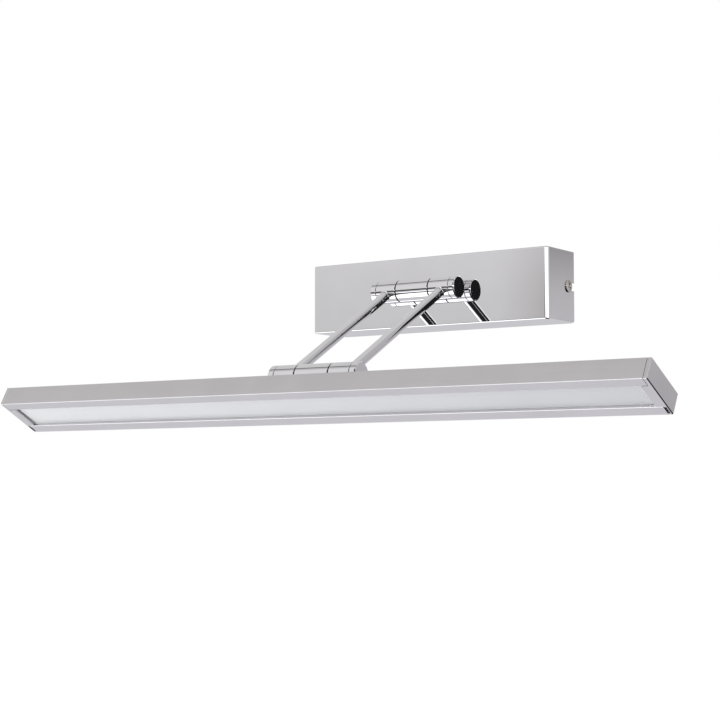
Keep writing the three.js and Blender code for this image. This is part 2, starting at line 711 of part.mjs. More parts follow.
// The head's own frame has the lower hinge axis at its origin.
function buildHead() {
  const head = new THREE.Group();
  const drop = THREE.MathUtils.degToRad(ARM_DROP_DEG);
  head.position.set(0, hingeAxisY - ARM_LENGTH * Math.cos(drop), -ARM_LENGTH * Math.sin(drop));
  head.rotation.x = THREE.MathUtils.degToRad(HEAD_TILT_DEG);

  const faceDistance = HEAD_DROP - headHalfThickness;
  const studLength = HEAD_TOP_WALL + 3;
  const barrel = addPiece(head, "lower_hinge_barrel", hingeBarrel(faceDistance, studLength), chrome());
  barrel.rotation.x = -Math.PI / 2;

  const washerTop = innerTop - 0.1;
  const washer = ring("z", STUD_RADIUS + 0.2, 6, washerTop - 0.5, washerTop, BORE_FACETS);
  const nut = hexNut("z", 10, STUD_RADIUS + 0.1, washerTop - 2.8, washerTop - 0.6);
  addPiece(head, "lower_post_washer", washer, zincSteel()).position.z = -HEAD_DROP;
  addPiece(head, "lower_post_nut", nut, zincSteel()).position.z = -HEAD_DROP;

  const leadBottom = -HEAD_DROP + boardTop + 0.1;
  const headLead = rod("z", LOW_VOLTAGE_LEAD_RADIUS, leadBottom, -AXLE_RADIUS - 0.5, SMALL_FACETS);
  addPiece(head, "head_lead", headLead, insulation(0xd8d8d4));

  const lamp = new THREE.Group();
  lamp.position.set(0, -HEAD_SETBACK, -HEAD_DROP);
  addPiece(lamp, "head_housing", headHousing(), headMetal());
  addPiece(lamp, "head_cap_right", headCap(), headMetal());
  addPiece(lamp, "head_cap_left", headCap(), headMetal()).scale.x = -1;
  addPiece(lamp, "diffuser", diffuserPanel(), opal());
  addPiece(lamp, "led_board", ledBoard(), boardWhite());
  head.add(lamp);
  return head;
}

// ---------------------------------------------------------------- the picture light

const pictureLight = new THREE.Group();
pictureLight.add(buildWallBox());
pictureLight.add(buildArms());
pictureLight.add(buildHead());

export default pictureLight;
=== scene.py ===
"""A chrome picture light: a wall box, two tubular arms on friction hinges and a slim LED head.

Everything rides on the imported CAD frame. Blender works in metres; the shapes below are drawn in
millimetres, each in the frame of its own body, and a body's matrix brings them to metres.
"""

import json
import math

import bmesh
import bpy
from mathutils import Matrix, Vector


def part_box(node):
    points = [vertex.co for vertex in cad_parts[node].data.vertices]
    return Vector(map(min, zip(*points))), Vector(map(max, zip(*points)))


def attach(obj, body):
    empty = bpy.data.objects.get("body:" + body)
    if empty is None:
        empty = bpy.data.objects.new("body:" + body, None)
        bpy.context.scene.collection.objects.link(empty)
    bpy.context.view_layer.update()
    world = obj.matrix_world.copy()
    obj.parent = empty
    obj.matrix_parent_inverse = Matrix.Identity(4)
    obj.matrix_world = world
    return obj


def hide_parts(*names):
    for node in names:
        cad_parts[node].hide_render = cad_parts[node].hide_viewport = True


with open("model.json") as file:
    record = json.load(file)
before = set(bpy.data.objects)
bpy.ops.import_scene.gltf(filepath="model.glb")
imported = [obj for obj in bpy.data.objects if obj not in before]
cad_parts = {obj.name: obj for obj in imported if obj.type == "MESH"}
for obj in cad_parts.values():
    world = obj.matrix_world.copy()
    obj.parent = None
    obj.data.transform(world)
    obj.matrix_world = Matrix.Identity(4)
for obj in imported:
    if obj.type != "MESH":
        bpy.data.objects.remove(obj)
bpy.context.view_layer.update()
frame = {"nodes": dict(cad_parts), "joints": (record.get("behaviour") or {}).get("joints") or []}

# ------------------------------------------------------------------ dimensions (mm)

MM = 0.001
SIDES = {"right": 1, "left": -1}


def node_box(name):
    low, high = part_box(name)
    return low / MM, high / MM


joint_at = {joint["name"]: Vector(joint["pos_m"]) / MM for joint in frame["joints"]}
upper_axis = joint_at["arm_hinge"]
lower_axis = joint_at["head_hinge"]
arm_run = lower_axis - upper_axis
ARM_LENGTH = arm_run.length
ARM_DROP = math.atan2(-arm_run.z, -arm_run.y)
HEAD_TILT = math.radians(-28.8)

cover_low, cover_high = node_box("wall_cover")
COVER_SHEET = 1.2
COVER_FOLD = 2.4
COVER_EDGE = 0.9
COVER_REAR_CORNER = 2.0
COVER_SLOT_WIDTH = 5.0
COVER_SCREW_Y = -7.8
SCREW_HEAD_RADIUS = 4.0
SCREW_HEAD_HEIGHT = 1.2
SCREW_SHANK_RADIUS = 1.9
SCREW_SHANK_LENGTH = 7.0
SCREW_TURN = 0.35

plate_low, plate_high = node_box("wall_bracket")
BRACKET_SHEET = 1.5
EAR_HALF_HEIGHT = 10.0
EAR_CORNER = 3.0
EAR_HOLE_RADIUS = 2.0
SMALL_HOLE_RADIUS = 1.6
WALL_SLOT_X = 76.0
WALL_SLOT_LENGTH = 14.0
WALL_SLOT_WIDTH = 5.2
CABLE_X = 22.0
CABLE_HOLE_RADIUS = 7.0
GROMMET_BORE = 4.5

barrel_end = node_box("upper_hinge_barrel")[1].x
washer_start = node_box("upper_friction_washer_right")[0].x
washer_end = node_box("upper_friction_washer_right")[1].x
knuckle_start = node_box("upper_knuckle_right")[0].x
knuckle_end = node_box("upper_knuckle_right")[1].x
cap_start = node_box("upper_end_cap_right")[0].x
cap_end = node_box("upper_end_cap_right")[1].x
arm_x = (knuckle_start + knuckle_end) / 2 + 0.8
BARREL_RADIUS = 7.2
WASHER_RADIUS = 6.5
AXLE_BORE = 3.1
NECK_RADIUS = 4.5
STUD_RADIUS = 3.0
LEAD_WAY_RADIUS = 1.6
CAP_CHAMFER = 0.7
THREAD_DEPTH = 2.8
TUBE_RADIUS = 3.15
TUBE_WALL = 1.0
TUBE_END = 4.6
FILLET = 0.55

HEAD_SETBACK = 7.25
HEAD_DROP = 21.0
HEAD_HALF_WIDTH = 17.7
HEAD_HALF_THICKNESS = 6.3
HEAD_WALL = 1.5
HEAD_CORNER = 0.3
RIM_THICKNESS = 1.6
FRONT_RIM = 7.2
REAR_RIM = 7.9
SHELF_WIDTH = 3.0
SHELF_BOTTOM = -1.95
head_cap_end = node_box("head_cap_right")[1].x
housing_end = node_box("head_housing")[1].x
HEAD_CAP_THICKNESS = 2.5
FLANGE_LENGTH = 4.2
FLANGE_GAP = 0.4
DIFFUSER_BOTTOM = -4.6
DIFFUSER_TOP = -2.1
DIFFUSER_HALF_WIDTH = 16.0
BOARD_TOP = 1.3

TURN_STEPS = 96
TUBE_STEPS = 64

# ------------------------------------------------------------------ frames of the bodies

to_metres = Matrix.Scale(MM, 4)
WALL = to_metres.copy()
UPPER = to_metres @ Matrix.Translation(upper_axis)
ARMS = UPPER @ Matrix.Rotation(ARM_DROP, 4, "X")
HEAD = to_metres @ Matrix.Translation(lower_axis) @ Matrix.Rotation(HEAD_TILT, 4, "X")
LAMP = HEAD @ Matrix.Translation((0, -HEAD_SETBACK, -HEAD_DROP))
MIRROR = {"right": Matrix(), "left": Matrix.Scale(-1, 4, (1, 0, 0))}

# ------------------------------------------------------------------ material nodes


class Look:
    """A node material being built, read in the object's own coordinates (metres at rest)."""

    def __init__(self, name):
        self.material = bpy.data.materials.new(name)
        self.material.use_nodes = True
        self.tree = self.material.node_tree
        self.shader = self.tree.nodes["Principled BSDF"]
        self.place = self.tree.nodes.new("ShaderNodeTexCoord").outputs["Object"]

    def link(self, source, target):
        self.tree.links.new(source, target)
        return source

    def set(self, **values):
        for name, value in values.items():
            self.shader.inputs[name.replace("_", " ")].default_value = value

    def drive(self, name, source):
        self.link(source, self.shader.inputs[name])

    def stretched(self, scale, turn=(0, 0, 0)):
        mapping = self.tree.nodes.new("ShaderNodeMapping")
        mapping.inputs["Scale"].default_value = scale
        mapping.inputs["Rotation"].default_value = turn
        self.link(self.place, mapping.inputs["Vector"])
        return mapping.outputs["Vector"]

    def noise(self, scale, detail=3.0, rough=0.55, vector=None, warp=0.0):
        node = self.tree.nodes.new("ShaderNodeTexNoise")
        node.inputs["Scale"].default_value = scale
        node.inputs["Detail"].default_value = detail
        node.inputs["Roughness"].default_value = rough
        node.inputs["Distortion"].default_value = warp
        self.link(vector or self.place, node.inputs["Vector"])
        return node.outputs["Fac"]

    def remap(self, source, low, high, start=0.35, stop=0.65):
        node = self.tree.nodes.new("ShaderNodeMapRange")
        node.inputs["From Min"].default_value = start
        node.inputs["From Max"].default_value = stop
        node.inputs["To Min"].default_value = low
        node.inputs["To Max"].default_value = high
        self.link(source, node.inputs["Value"])
        return node.outputs["Result"]

    def math(self, operation, first, second):
        node = self.tree.nodes.new("ShaderNodeMath")
        node.operation = operation
        for socket, value in zip(node.inputs, (first, second)):
            if isinstance(value, (int, float)):
                socket.default_value = value
            else:
                self.link(value, socket)
        return node.outputs["Value"]

    def length(self, vector):
        node = self.tree.nodes.new("ShaderNodeVectorMath")
        node.operation = "LENGTH"
        self.link(vector, node.inputs[0])
        return node.outputs["Value"]

    def scaled(self, value, scale):
        node = self.tree.nodes.new("ShaderNodeCombineXYZ")
        self.link(self.math("MULTIPLY", value, scale), node.inputs["X"])
        return node.outputs["Vector"]

    def mix(self, factor, first, second):
        node = self.tree.nodes.new("ShaderNodeMix")
        node.data_type = "RGBA"
        colours = [socket for socket in node.inputs if socket.type == "RGBA"]
        self.link(factor, node.inputs["Factor"])
        for socket, value in zip(colours, (first, second)):
            if isinstance(value, tuple):
                socket.default_value = (*value, 1)
            else:
                self.link(value, socket)
        return next(socket for socket in node.outputs if socket.type == "RGBA")

    def bump(self, height, depth_mm, below=None):
        node = self.tree.nodes.new("ShaderNodeBump")
        node.inputs["Strength"].default_value = 1.0
        node.inputs["Distance"].default_value = depth_mm * MM
        self.link(height, node.inputs["Height"])
        if below is not None:
            self.link(below, node.inputs["Normal"])
        return node.outputs["Normal"]


def chrome_look():
    """Mirror plating: smudges and hairlines in the gloss, and the faint waves of polished sheet."""
    look = Look("chrome_plate")
    look.set(Metallic=1.0)
    tone = look.remap(look.noise(30, 2), 0, 1)
    look.drive("Base Color", look.mix(tone, (0.795, 0.79, 0.80), (0.82, 0.815, 0.825)))
    smudge = look.remap(look.noise(55, 4, warp=0.6), 0.015, 0.03)
    hairline = look.noise(900, 2, vector=look.stretched((0.12, 1, 1), (0.3, 0.2, 0.1)))
    scratched = look.remap(hairline, 0.0, 0.012, 0.62, 0.74)
    look.drive("Roughness", look.math("ADD", smudge, scratched))
    wave = look.bump(look.noise(22, 1), 0.016)
    look.drive("Normal", look.bump(hairline, 0.00002, wave))
    return look.material


def head_metal_look():
    """Extruded and plated head: a softer mirror, with faint drawing lines along the head."""
    look = Look("drawn_head_metal")
    look.set(Metallic=1.0)
    tone = look.remap(look.noise(24, 3), 0, 1)
    look.drive("Base Color", look.mix(tone, (0.775, 0.765, 0.775), (0.805, 0.795, 0.805)))
    lines = look.noise(1400, 2, vector=look.stretched((0.01, 1, 1)))
    smudge = look.remap(look.noise(40, 4, warp=0.5), 0.12, 0.16)
    look.drive("Roughness", look.math("ADD", smudge, look.remap(lines, 0.0, 0.035)))
    wave = look.bump(look.noise(14, 1), 0.02)
    look.drive("Normal", look.bump(lines, 0.0004, wave))
    return look.material


def plated_steel_look(name, dark, bright, rough, spangle=0.0):
    """Nickel or zinc on steel: cloudy tone, fine pitting and a broken sheen."""
    look = Look(name)
    look.set(Metallic=1.0)
    tone = look.remap(look.noise(160, 4), 0, 1)
    look.drive("Base Color", look.mix(tone, dark, bright))
    look.drive("Roughness", look.remap(look.noise(300, 3), rough - 0.06, rough + 0.08))
    look.drive("Normal", look.bump(look.noise(1800, 3), 0.004 + spangle))
    return look.material


def moulded_look(name, dark, bright, rough, grain_mm):
    """Moulded plastic or rubber: a fine spark-eroded grain and slightly uneven gloss."""
    look = Look(name)
    tone = look.remap(look.noise(90, 3), 0, 1)
    look.drive("Base Color", look.mix(tone, dark, bright))
    look.drive("Roughness", look.remap(look.noise(220, 3), rough - 0.06, rough + 0.06))
    look.drive("Normal", look.bump(look.noise(2600, 3), grain_mm))
    return look.material


def opal_look():
    """Opal acrylic: bright body colour, a satin face and a barely uneven tint."""
    look = Look("opal_acrylic")
    tone = look.remap(look.noise(12, 2), 0, 1)
    look.drive("Base Color", look.mix(tone, (0.87, 0.885, 0.90), (0.90, 0.91, 0.92)))
    look.drive("Roughness", look.remap(look.noise(400, 3), 0.38, 0.5))
    look.drive("Normal", look.bump(look.noise(3200, 2), 0.0015))
    look.set(Specular_IOR_Level=0.35)
    return look.material


def board_look():
    """White solder mask, a little uneven in tone and gloss."""
    look = Look("led_board")
    tone = look.remap(look.noise(120, 3), 0, 1)
    look.drive("Base Color", look.mix(tone, (0.84, 0.85, 0.84), (0.9, 0.9, 0.88)))
    look.drive("Roughness", look.remap(look.noise(260, 3), 0.4, 0.55))
    look.drive("Normal", look.bump(look.noise(2200, 2), 0.004))
    return look.material


def turned_face_look(name, centre):
    """Chrome over a lathe-turned end face about centre, with fine rings in its gloss."""
    look = Look(name)
    mapping = look.tree.nodes.new("ShaderNodeMapping")
    mapping.inputs["Location"].default_value = -centre
    mapping.inputs["Scale"].default_value = (0, 1, 1)
    look.link(look.place, mapping.inputs["Vector"])
    radius = look.length(mapping.outputs["Vector"])
    rings = look.noise(1.0, 2, vector=look.scaled(radius, 9000))
    around = look.tree.nodes.new("ShaderNodeTangent")
    around.direction_type = "RADIAL"
    around.axis = "X"
    look.set(Base_Color=(0.79, 0.78, 0.79, 1), Metallic=1.0, Anisotropic=0.6)
    look.drive("Tangent", around.outputs["Tangent"])
    look.drive("Roughness", look.remap(rings, 0.02, 0.045))
    look.drive("Normal", look.bump(rings, 0.0001))
    return look.material


chrome = chrome_look()
head_metal = head_metal_look()
nickel = plated_steel_look("nickel_plate", (0.60, 0.58, 0.54), (0.72, 0.70, 0.66), 0.2)
zinc = plated_steel_look("zinc_steel", (0.42, 0.44, 0.46), (0.58, 0.59, 0.60), 0.36, 0.003)
opal = opal_look()
turned_faces = {
    "upper": turned_face_look("turned_face_upper", upper_axis * MM),
    "lower": turned_face_look("turned_face_lower", lower_axis * MM),
}
black_plastic = moulded_look("black_plastic", (0.012, 0.012, 0.013), (0.022, 0.022, 0.023), 0.5, 0.01)
white_plastic = moulded_look("white_plastic", (0.76, 0.75, 0.72), (0.83, 0.82, 0.79), 0.45, 0.008)
rubber = moulded_look("rubber", (0.014, 0.014, 0.014), (0.03, 0.03, 0.029), 0.8, 0.02)
white_board = board_look()
brown_sleeve = moulded_look("brown_insulation", (0.11, 0.045, 0.02), (0.16, 0.07, 0.035), 0.45, 0.004)
blue_sleeve = moulded_look("blue_insulation", (0.015, 0.06, 0.2), (0.03, 0.1, 0.29), 0.45, 0.004)
white_sleeve = moulded_look("white_insulation", (0.66, 0.66, 0.63), (0.75, 0.75, 0.72), 0.45, 0.004)


def earth_sleeve_look():
    """Green insulation with a yellow stripe along each side of the lead."""
    look = Look("green_insulation")
    stripes = look.noise(420, 0, vector=look.stretched((0.06, 1, 1)))
    hue = look.remap(stripes, 0, 1, 0.47, 0.53)
    look.drive("Base Color", look.mix(hue, (0.07, 0.26, 0.03), (0.62, 0.55, 0.03)))
    look.drive("Roughness", look.remap(look.noise(220, 3), 0.4, 0.5))
    look.drive("Normal", look.bump(look.noise(2600, 3), 0.004))
    return look.material


green_sleeve = earth_sleeve_look()

# ------------------------------------------------------------------ mesh building


def rounded(corners, steps=6, closed=True):
    """The line through (a, b, radius) corners, with an arc of that radius for each corner."""
    line = []
    last = len(corners) - 1
    for i, (a, b, radius) in enumerate(corners):
        here = Vector((a, b))
        if not radius or (not closed and i in (0, last)):
            line.append(here)
            continue
        back = (Vector(corners[i - 1][:2]) - here).normalized()
        ahead = (Vector(corners[(i + 1) % len(corners)][:2]) - here).normalized()
        half = back.angle(ahead) / 2
        centre = here + (back + ahead).normalized() * (radius / math.sin(half))
        first = here + back * (radius / math.tan(half)) - centre
        final = here + ahead * (radius / math.tan(half)) - centre
        start = math.atan2(first.y, first.x)
        sweep = math.remainder(math.atan2(final.y, final.x) - start, math.tau)
        for step in range(steps + 1):
            angle = start + sweep * step / steps
            line.append(centre + radius * Vector((math.cos(angle), math.sin(angle))))
    return line


def add_rings(bm, rings, closed_rings=True, loop=False):
    """Joins successive rings of points with quads. A ring of one point is a pole."""
    rows = [[bm.verts.new(point) for point in ring] for ring in rings]
    pairs = list(zip(rows, rows[1:])) + ([(rows[-1], rows[0])] if loop else [])
    for one, other in pairs:
        count = max(len(one), len(other))
        for i in range(count if closed_rings else count - 1):
            j = (i + 1) % count
            near = [one[i % len(one)], one[j % len(one)]]
            far = [other[j % len(other)], other[i % len(other)]]
            distinct = list(dict.fromkeys(near + far))
            if len(distinct) > 2:
                bm.faces.new(distinct)
    return rows


def add_turned(bm, profile, steps=TURN_STEPS, matrix=None, loop=False):
    """A profile of (radius, along) turned about X. A radius may be a function of the angle."""
    rings = []
    for radius, along in profile:
        if radius == 0:
            rings.append([Vector((along, 0, 0))])
            continue
        ring = []
        for i in range(steps):
            angle = math.tau * i / steps
            reach = radius(angle) if callable(radius) else radius
            ring.append(Vector((along, reach * math.cos(angle), reach * math.sin(angle))))
        rings.append(ring)
    if matrix is not None:
        rings = [[matrix @ point for point in ring] for ring in rings]
    return add_rings(bm, rings, loop=loop)


def pin(radius, start, end):
    """The profile of a plain rod."""
    return [(0, start), (radius, start), (radius, end), (0, end)]


def add_prism(bm, outline, start, end, place):
    """An outline of (a, b) points from start to end; place(a, b, depth) gives the 3-D point."""
    rows = add_rings(bm, [[place(a, b, depth) for a, b in outline] for depth in (start, end)])
    for row in rows:
        bm.faces.new(row)


def along_x(y, z, x):
    return Vector((x, y, z))


def along_y(z, x, y):
    return Vector((x, y, z))


def along_z(x, y, z):
    return Vector((x, y, z))


def add_block(bm, low, high):
    (x0, y0, z0), (x1, y1, z1) = low, high
    add_prism(bm, [(x0, y0), (x1, y0), (x1, y1), (x0, y1)], z0, z1, along_z)


def as_object(name, bm):
    bmesh.ops.remove_doubles(bm, verts=bm.verts, dist=1e-5)
    bmesh.ops.recalc_face_normals(bm, faces=bm.faces)
    mesh = bpy.data.meshes.new(name)
    bm.to_mesh(mesh)
    bm.free()
    made = bpy.data.objects.new(name, mesh)
    bpy.context.scene.collection.objects.link(made)
    return made


def shape(name, *builders):
    """An object from builders that each add to one bmesh."""
    bm = bmesh.new()
    for builder in builders:
        builder(bm)
    return as_object(name, bm)


def settle(made):
    """Applies the modifiers of an object to its mesh."""
    depsgraph = bpy.context.evaluated_depsgraph_get()
    mesh = bpy.data.meshes.new_from_object(made.evaluated_get(depsgraph))
    made.modifiers.clear()
    made.data = mesh
    return made


def combine(made, operation, *tools):
    """Cuts the tools from an object, or joins them to it, and removes the tools."""
    for tool in tools:
        modifier = made.modifiers.new("combine", "BOOLEAN")
        modifier.operation = operation
        modifier.object = tool
        modifier.solver = "EXACT"
    settle(made)
    for tool in tools:
        bpy.data.objects.remove(tool)
    return made


def soften_edges(made, width, segments=2, angle=40):
    bevel = made.modifiers.new("soften", "BEVEL")
    bevel.width = width
    bevel.segments = segments
    bevel.limit_method = "ANGLE"
    bevel.angle_limit = math.radians(angle)
    bevel.miter_outer = "MITER_ARC"
    return settle(made)


def finish_piece(made, body, look, nodes, matrix, smooth_angle=32):
    """Brings a shape drawn in mm to its place, shades it, ties it to its body and hides the CAD nodes it
    stands for.
    """
    made.data.transform(matrix)
    if matrix.determinant() < 0:
        made.data.flip_normals()
    made.data.shade_smooth()
    made.data.set_sharp_from_angle(angle=math.radians(smooth_angle))
    weighted = made.modifiers.new("weighted", "WEIGHTED_NORMAL")
    weighted.keep_sharp = True
    made.data.materials.clear()
    made.data.materials.append(look)
    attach(made, body)
    if nodes:
        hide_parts(*nodes)
    return made


# ------------------------------------------------------------------ wall box


def cover_ring(inset, z):
    """The cover's outline at one height, from rear left round the front to rear right."""
    left, right, front = cover_low.x + inset, cover_high.x - inset, cover_low.y + inset
    fold = max(COVER_FOLD - inset, 0.3)
    corners = [(left, 0, 0), (left, front, fold), (right, front, fold), (right, 0, 0)]
    return [Vector((a, b, z)) for a, b in rounded(corners, steps=10, closed=False)]


def cover_surface(inset, edge):
    """Rings of one face of the sheet, from the bottom panel up to the top panel."""
    steps = 5
    rings = []
    for sign in (-1, 1):
        stack = []
        for step in range(steps + 1):
            angle = math.pi / 2 * step / steps
            reach = edge * (1 - math.sin(angle))
            stack.append((reach, sign * (cover_high.z - inset - edge * (1 - math.cos(angle)))))
        rings += stack if sign < 0 else stack[::-1]
    return [cover_ring(inset + reach, z) for reach, z in rings]


def build_cover():
    bm = bmesh.new()
    outer = add_rings(bm, cover_surface(0, COVER_EDGE), closed_rings=False)
    inner = add_rings(bm, cover_surface(COVER_SHEET, 0.3), closed_rings=False)
    for rows in (outer, inner):
        bm.faces.new(rows[0])
        bm.faces.new(rows[-1])
    rims = []
    for rows in (outer, inner):
        rims.append([row[0] for row in rows] + [row[-1] for row in reversed(rows)])
    for i in range(len(rims[0])):
        j = (i + 1) % len(rims[0])
        bm.faces.new([rims[0][i], rims[0][j], rims[1][j], rims[1][i]])
    cover = as_object("cover_shell", bm)

    half_slot = COVER_SLOT_WIDTH / 2
    slot = rounded(
        [
            (COVER_SCREW_Y - half_slot, -half_slot, half_slot),
            (2, -half_slot, 0),
            (2, half_slot, 0),
            (COVER_SCREW_Y - half_slot, half_slot, half_slot),
        ],
        steps=12,
    )
    reach = cover_high.x + 5
    tools = [shape("slot_tool", lambda bm: add_prism(bm, slot, -reach, reach, along_x))]
    corner = COVER_REAR_CORNER
    bottom = cover_low.z
    arc = [
        Vector((-corner + corner * math.sin(t), bottom + corner * (1 - math.cos(t))))
        for t in (math.pi / 2 * step / 8 for step in range(9))
    ]
    outline = [(-corner, bottom - 1), *arc, (1, bottom + corner), (1, bottom - 1)]
    for x in (cover_low.x, cover_high.x):
        inside, outside = x - math.copysign(corner, x), x + math.copysign(2, x)
        tools.append(shape("corner_tool", lambda bm: add_prism(bm, outline, inside, outside, along_x)))
    turn_to_y = Matrix.Rotation(math.pi / 2, 4, "Z")
    hole = STUD_RADIUS + 0.2
    tools.append(
        shape(
            "stud_tool",
            lambda bm: add_turned(bm, pin(hole, cover_low.y - 3, cover_low.y + 5), matrix=turn_to_y),
        )
    )
    combine(cover, "DIFFERENCE", *tools)
    soften_edges(cover, 0.12, 2, 60)
    finish_piece(cover, "wall_mount", chrome, ["wall_cover"], WALL)


def slot_outline(centre, length, width):
    half_width, half_length = width / 2, length / 2
    return rounded(
        [
            (-half_width, centre - half_length, half_width),
            (half_width, centre - half_length, half_width),
            (half_width, centre + half_length, half_width),
            (-half_width, centre + half_length, half_width),
        ],
        steps=10,
    )


def hole_tool(radius, x, z, low=-6.0, high=4.0):
    matrix = Matrix.Translation((x, 0, z)) @ Matrix.Rotation(math.pi / 2, 4, "Z")
    return shape(
        "hole_tool",
        lambda bm: add_turned(bm, pin(radius, low, high), 48, matrix),
    )


def build_bracket():
    right, top, front = plate_high.x, plate_high.z, plate_low.y
    sheet, bend = BRACKET_SHEET, 2.0
    channel = rounded(
        [
            (-right, front, 0),
            (-right, 0, bend),
            (right, 0, bend),
            (right, front, 0),
            (right - sheet, front, 0),
            (right - sheet, -sheet, bend - sheet),
            (-right + sheet, -sheet, bend - sheet),
            (-right + sheet, front, 0),
        ],
        steps=6,
    )
    ears = shape(
        "bracket_plate",
        lambda bm: add_prism(bm, channel, -EAR_HALF_HEIGHT, EAR_HALF_HEIGHT, along_z),
    )
    inside = right - bend
    plate = shape("plate_tool", lambda bm: add_block(bm, (-inside, -sheet, -top), (inside, 0, top)))
    combine(ears, "UNION", plate)
    corner_tools = []
    for x in (-right, right):
        for sign in (-1, 1):
            edge = sign * EAR_HALF_HEIGHT
            arc = [
                Vector((
                    front + EAR_CORNER * (1 - math.sin(t)),
                    edge - sign * EAR_CORNER * (1 - math.cos(t)),
                ))
                for t in (math.pi / 2 * step / 8 for step in range(9))
            ]
            outline = [
                (front + EAR_CORNER, edge + sign),
                *arc,
                (front - 1, edge - sign * EAR_CORNER),
                (front - 1, edge + sign),
            ]
            corner_tools.append(
                shape("ear_tool", lambda bm: add_prism(bm, outline, x - 3, x + 3, along_x))
            )
    slots = [
        shape(
            "slot_tool",
            lambda bm: add_prism(
                bm, slot_outline(x, WALL_SLOT_LENGTH, WALL_SLOT_WIDTH), -6, 4, along_y
            ),
        )
        for x in (-WALL_SLOT_X, WALL_SLOT_X)
    ]
    screw_hole = shape(
        "ear_hole_tool",
        lambda bm: add_turned(
            bm, pin(EAR_HOLE_RADIUS, -100, 100), 48, Matrix.Translation((0, COVER_SCREW_Y, 0))
        ),
    )
    cable_hole = hole_tool(CABLE_HOLE_RADIUS, CABLE_X, 0)
    combine(ears, "DIFFERENCE", *corner_tools, *slots, screw_hole, cable_hole)
    small_holes = []
    for node in ("driver_screw_left", "driver_screw_right", "terminal_screw", "earth_screw"):
        low, high = node_box(node)
        small_holes.append(hole_tool(SMALL_HOLE_RADIUS, (low.x + high.x) / 2, (low.z + high.z) / 2))
    combine(ears, "DIFFERENCE", *small_holes)
    soften_edges(ears, 0.15, 2, 60)
    finish_piece(ears, "wall_mount", zinc, ["wall_bracket"], WALL)


def build_grommet():
    sleeve, flange = CABLE_HOLE_RADIUS - 0.15, CABLE_HOLE_RADIUS + 1.8
    back = -BRACKET_SHEET - 0.1
    profile = rounded(
        [
            (GROMMET_BORE, -4.0, 0.7),
            (flange, -4.0, 0.9),
            (flange, back, 0.3),
            (sleeve, back, 0.1),
            (sleeve, -0.1, 0.3),
            (GROMMET_BORE, -0.1, 0.6),
        ]
    )
    matrix = WALL @ Matrix.Translation((CABLE_X, 0, 0)) @ Matrix.Rotation(math.pi / 2, 4, "Z")
    grommet = shape("cable_bushing", lambda bm: add_turned(bm, profile, loop=True))
    finish_piece(grommet, "wall_mount", rubber, ["cable_grommet"], matrix)


def screw_profile(head_radius, head_height, shank_radius, shank_length):
    """A pan head, domed on top, and its threaded shank, along +X from under the head."""
    rim = head_height * 0.4
    profile = [(0, -shank_length), (shank_radius - 0.3, -shank_length)]
    pitch = 0.7
    turns = int((shank_length - 1) / pitch)
    for i in range(turns):
        start = -shank_length + 0.3 + i * pitch
        profile += [(shank_radius, start), (shank_radius - 0.3, start + pitch / 2)]
    profile += [(shank_radius - 0.3, 0), (head_radius - 0.15, 0), (head_radius, 0.15)]
    steps = 10
    for step in range(steps + 1):
        angle = math.pi / 2 * step / steps
        radius = 0 if step == steps else head_radius * math.cos(angle)
        profile.append((radius, rim + (head_height - rim) * math.sin(angle)))
    return profile


def build_cover_screws():
    profile = screw_profile(
        SCREW_HEAD_RADIUS, SCREW_HEAD_HEIGHT, SCREW_SHANK_RADIUS, SCREW_SHANK_LENGTH
    )
    for side, sign in SIDES.items():
        node = "cover_screw_" + side
        seat = cover_high.x + 0.1
        screw = shape("cover_fixing_" + side, lambda bm: add_turned(bm, profile, 64))
        combine(screw, "DIFFERENCE", *cross_halves(reach=2.3, width=1.1, floor=0.3, top=1.6))
        place = WALL @ Matrix.Translation((sign * seat, COVER_SCREW_Y, 0)) @ MIRROR[side]
        turned = place @ Matrix.Rotation(SCREW_TURN, 4, "X")
        finish_piece(screw, "wall_mount", nickel, [node], turned, 38)


def cross_halves(reach, width, floor, top):
    """The two tapered bars of a cross recess along X."""
    bars = []
    for turn in (0, math.pi / 2):
        matrix = Matrix.Rotation(turn, 4, "X")
        rings = []
        for depth, share in ((floor, 0.5), (top, 1.15)):
            long, short = reach * share, width / 2 * (0.6 + 0.4 * share)
            corners = [(-long, -short), (long, -short), (long, short), (-long, short)]
            rings.append([matrix @ Vector((depth, a, b)) for a, b in corners])
        bm = bmesh.new()
        for row in add_rings(bm, rings):
            bm.faces.new(row)
        bars.append(as_object("cross_tool", bm))
    return bars


# ------------------------------------------------------------------ hinges and arms


def ring_profile(bore, radius, start, end, inner_edge, outer_edge, round_edge=0.12):
    """A closed (radius, along) profile of a bored barrel with a chamfer at each outer edge."""
    return rounded(
        [
            (bore, start, 0.1),
            (radius - inner_edge, start, round_edge),
            (radius, start + inner_edge, round_edge),
            (radius, end - outer_edge, round_edge),
            (radius - outer_edge, end, round_edge),
            (bore, end, 0.1),
        ],
        steps=4,
    )


def build_barrel(level, body, matrix, node):
    profile = ring_profile(AXLE_BORE, BARREL_RADIUS, -barrel_end, barrel_end, 0.15, 0.15, 0.08)
    barrel = shape(level + "_barrel", lambda bm: add_turned(bm, profile, loop=True))
    finish_piece(barrel, body, chrome, [node], matrix)


def saddle_rings(radius, fillet, steps=TUBE_STEPS, arc_steps=7):
    """Rings from the barrel's surface up a fillet onto a tube that leaves it along -Y."""
    rings = []
    for step in range(-1, arc_steps + 1):
        angle = math.pi / 2 * max(step, 0) / arc_steps
        reach = radius + fillet * (1 - math.sin(angle))
        height = fillet * (1 - math.cos(angle)) - (0.25 if step < 0 else 0)
        ring = []
        for i in range(steps):
            turn = math.tau * i / steps
            x, z = reach * math.cos(turn), reach * math.sin(turn)
            ring.append(Vector((x, -math.sqrt(BARREL_RADIUS**2 - z**2) - height, z)))
        rings.append(ring)
    return rings


